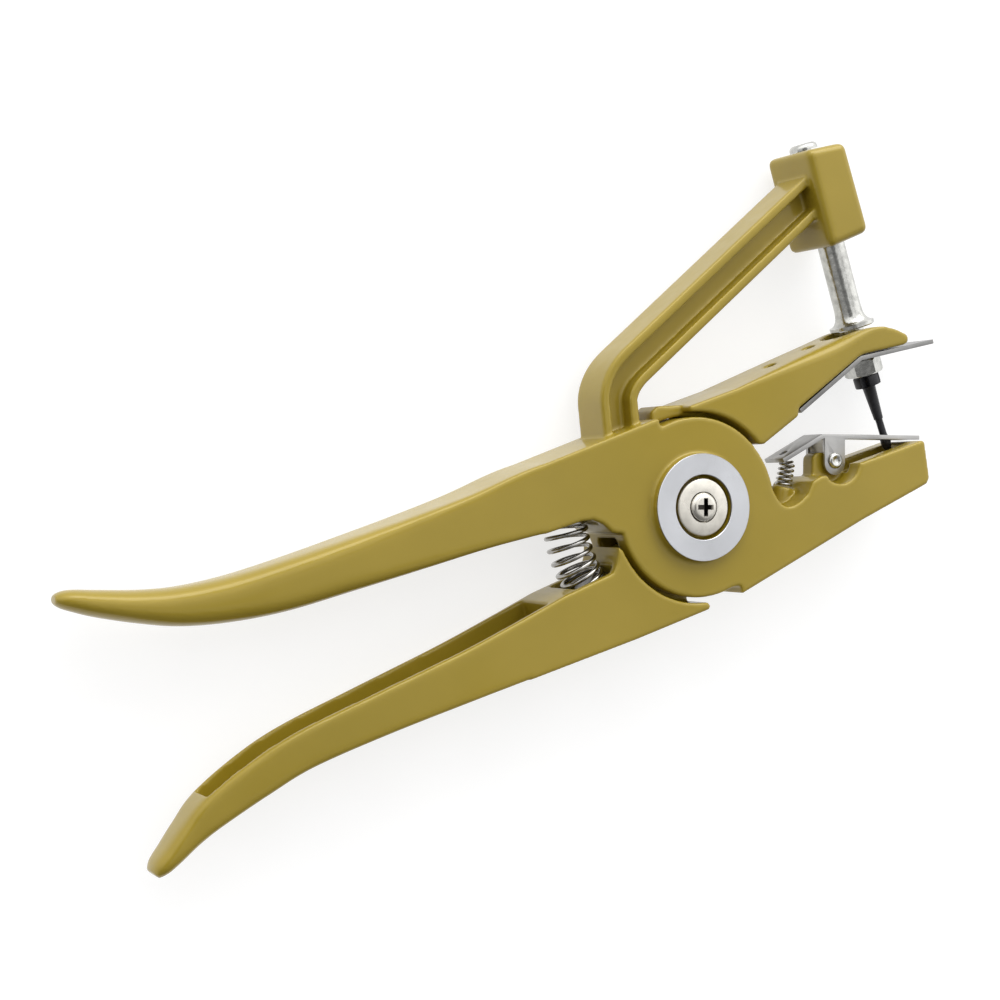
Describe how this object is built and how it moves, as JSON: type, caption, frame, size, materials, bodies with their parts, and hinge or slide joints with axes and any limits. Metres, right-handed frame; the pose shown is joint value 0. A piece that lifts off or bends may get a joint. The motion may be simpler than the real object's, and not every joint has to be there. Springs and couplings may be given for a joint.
{
  "type": "ear tag pliers",
  "caption": "Hand pliers that set a two-part tag: fixed arm and plunger with a needle, sprung lever jaw with press plate, and a sprung clip on the lower jaw",
  "frame": {"origin": "on the pivot axis, in the rear face of the pivot, which the tool lies on", "axes": "+X along the tool towards the jaws, +Y from the lower handle towards the plunger head, +Z across the tool, along the pivot axis, out of the side with the pivot cap"},
  "size_m": [0.2487, 0.1912, 0.0261],
  "materials": {
    "gold_paint": "glossy olive-gold enamel over a casting",
    "nickel_plate": "bright nickel plate",
    "turned_aluminium": "faced in a lathe",
    "sheet_steel": "plain grey sheet",
    "spring_wire": "drawn wire",
    "black_needle": "blackened",
    "bronze_bush": "plain bronze"
  },
  "bodies": {
    "frame": {"frame_casting": "gold_paint", "pivot_barrel": "nickel_plate", "pivot_cap": "nickel_plate", "pivot_screw": "nickel_plate", "front_wear_ring": "turned_aluminium", "rear_wear_ring": "turned_aluminium", "front_thrust_washer": "sheet_steel", "rear_thrust_washer": "sheet_steel", "plunger_rod": "nickel_plate", "rod_clamp_screw": "nickel_plate", "pin_lock_nut": "nickel_plate", "needle_pin": "black_needle", "clip_rivet": "nickel_plate", "clip_spring": "spring_wire", "main_spring": "spring_wire", "spring_stud_upper": "sheet_steel"},
    "lever": {"lever_casting": "gold_paint", "pivot_bush": "bronze_bush", "press_plate": "sheet_steel", "plate_screw_1": "nickel_plate", "plate_screw_2": "nickel_plate", "spring_stud_lower": "sheet_steel"},
    "clip": {"tag_clip": "sheet_steel"}
  },
  "joints": [
    {"name": "squeeze", "type": "hinge", "parent": "frame", "child": "lever", "pos_m": [0, 0, 0.0126], "axis": [0, 0, -1], "range_deg": [0, 7], "stiffness_Nm_per_rad": 1.5, "springref_deg": -14.32, "deforming": ["main_spring"]},
    {"name": "clip_pivot", "type": "hinge", "parent": "frame", "child": "clip", "pos_m": [0.0477, 0.01295, 0.0126], "axis": [0, 0, 1], "range_deg": [0, 12], "stiffness_Nm_per_rad": 0.12, "springref_deg": -17.19, "deforming": ["clip_spring"]}
  ]
}
